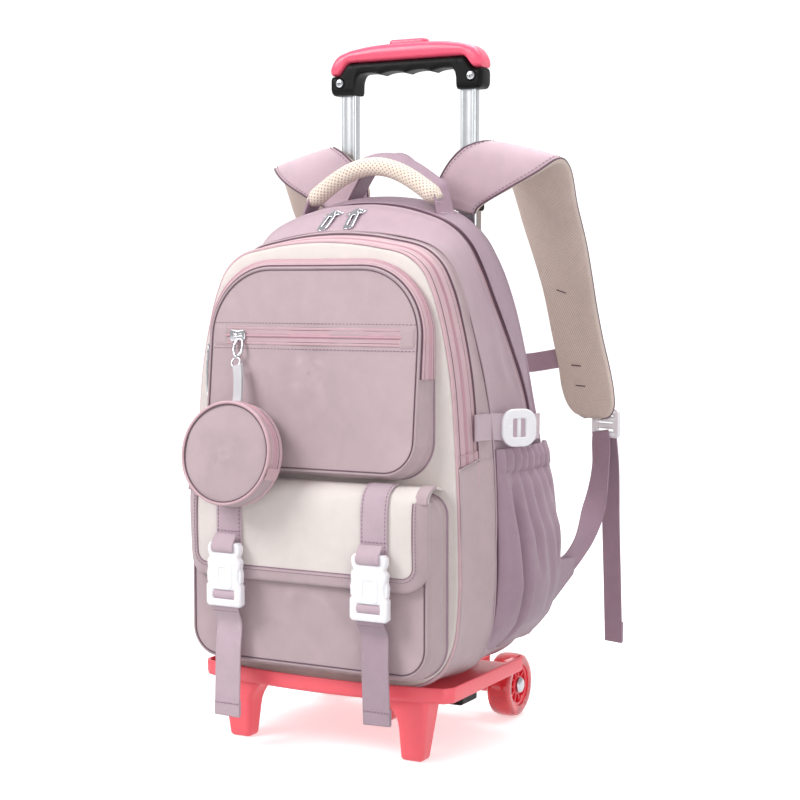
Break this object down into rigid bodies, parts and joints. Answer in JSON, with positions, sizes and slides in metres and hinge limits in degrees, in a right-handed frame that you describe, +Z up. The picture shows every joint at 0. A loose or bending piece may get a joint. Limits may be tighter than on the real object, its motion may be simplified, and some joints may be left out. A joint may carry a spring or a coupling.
{
  "type": "wheeled backpack",
  "caption": "Soft arched backpack with front pockets, buckled flap and shoulder straps, standing on a moulded tray with wheels and a pull-out handle.",
  "frame": {"origin": "on the floor, under the middle of the whole object's box", "axes": "+Z up along the pull-out handle, -Y is the front with the pockets, +X is the bag's right as seen from the front"},
  "size_m": [0.3498, 0.4042, 0.662],
  "materials": {
    "bag_cloth": "satin woven nylon",
    "side_cloth": "satin woven nylon, darker",
    "cream_cloth": "smooth woven nylon",
    "zip_tape": "woven zip tape with coil",
    "spacer_mesh": "spacer mesh",
    "webbing": "ribbed webbing",
    "webbing_dark": "ribbed webbing",
    "buckle": "smooth moulded",
    "clasp": "smooth moulded",
    "zip_metal": "polished",
    "grip_shell": "satin moulded",
    "grip_body": "fine grain",
    "tube": "brushed anodised",
    "tray": "fine grain moulded",
    "axle": "turned",
    "hub": "moulded",
    "tyre": "translucent polyurethane"
  },
  "bodies": {
    "bag": {"second_zip": "zip_tape", "main_zip": "zip_tape", "front_band": "bag_cloth", "main_body": "side_cloth", "front_panel": "cream_cloth", "back_panel": "bag_cloth", "upper_pocket": "bag_cloth", "upper_zip": "zip_tape", "pocket_zip": "zip_tape", "lower_pocket": "bag_cloth", "flap": "cream_cloth", "flap_binding": "bag_cloth", "front_strap_left": "webbing", "buckle_left": "buckle", "front_tail_left": "webbing", "front_strap_right": "webbing", "buckle_right": "buckle", "front_tail_right": "webbing", "side_pocket_right": "side_cloth", "side_pocket_left": "side_cloth", "side_strap_right": "webbing", "side_strap_left": "webbing", "side_slider_right": "buckle", "side_slider_left": "buckle", "handle_mesh": "spacer_mesh", "carry_handle": "bag_cloth", "rear_loop": "webbing", "shoulder_pad_right": "bag_cloth", "shoulder_pad_left": "bag_cloth", "ladder_lock_right": "buckle", "ladder_lock_left": "buckle", "strap_tail_right": "webbing", "strap_tail_left": "webbing", "lower_webbing_right": "webbing", "lower_webbing_left": "webbing", "corner_tab_right": "side_cloth", "corner_tab_left": "side_cloth", "chest_strap": "webbing_dark", "chest_clasp": "clasp", "coin_pouch": "bag_cloth", "pouch_ribbon": "webbing", "pouch_clip": "zip_metal", "outer_tube_left": "tube", "outer_tube_right": "tube", "base_tray": "tray", "axle": "axle"},
    "handle": {"grip_shell": "grip_shell", "grip_body": "grip_body", "inner_tube_left": "tube", "inner_tube_right": "tube"},
    "button": {"grip_button": "grip_shell"},
    "wheel_left": {"hub_left": "hub", "tyre_left": "tyre"},
    "wheel_right": {"hub_right": "hub", "tyre_right": "tyre"},
    "pull_top_left": {"top_pull_left": "zip_metal"},
    "pull_top_right": {"top_pull_right": "zip_metal"},
    "pull_side": {"side_pull": "zip_metal"},
    "pull_low": {"low_pull": "zip_metal"}
  },
  "joints": [
    {"name": "handle_slide", "type": "slide", "parent": "bag", "child": "handle", "axis": [0, 0, 1], "range_m": [-0.045, 0.25]},
    {"name": "button_press", "type": "slide", "parent": "handle", "child": "button", "axis": [0, 0, -1], "range_m": [0, 0.003], "stiffness_N_per_m": 300, "springref_m": -0.002},
    {"name": "wheel_left_spin", "type": "hinge", "parent": "bag", "child": "wheel_left", "pos_m": [-0.1, 0.05867, 0.031], "axis": [1, 0, 0], "continuous": true},
    {"name": "wheel_right_spin", "type": "hinge", "parent": "bag", "child": "wheel_right", "pos_m": [0.1, 0.05867, 0.031], "axis": [1, 0, 0], "continuous": true},
    {"name": "pull_top_left_hinge", "type": "hinge", "parent": "bag", "child": "pull_top_left", "pos_m": [-0.0242, -0.0675, 0.492], "axis": [1, 0, 0], "range_deg": [-120, 0]},
    {"name": "pull_top_right_hinge", "type": "hinge", "parent": "bag", "child": "pull_top_right", "pos_m": [-0.0002, -0.0673, 0.4931], "axis": [1, 0, 0], "range_deg": [-120, 0]},
    {"name": "pull_side_hinge", "type": "hinge", "parent": "bag", "child": "pull_side", "pos_m": [-0.114, -0.1433, 0.3595], "axis": [0, 1, 0], "range_deg": [0, 120]},
    {"name": "pull_low_hinge", "type": "hinge", "parent": "bag", "child": "pull_low", "pos_m": [-0.1418, -0.1162, 0.2515], "axis": [0, 1, 0], "range_deg": [0, 120]}
  ]
}
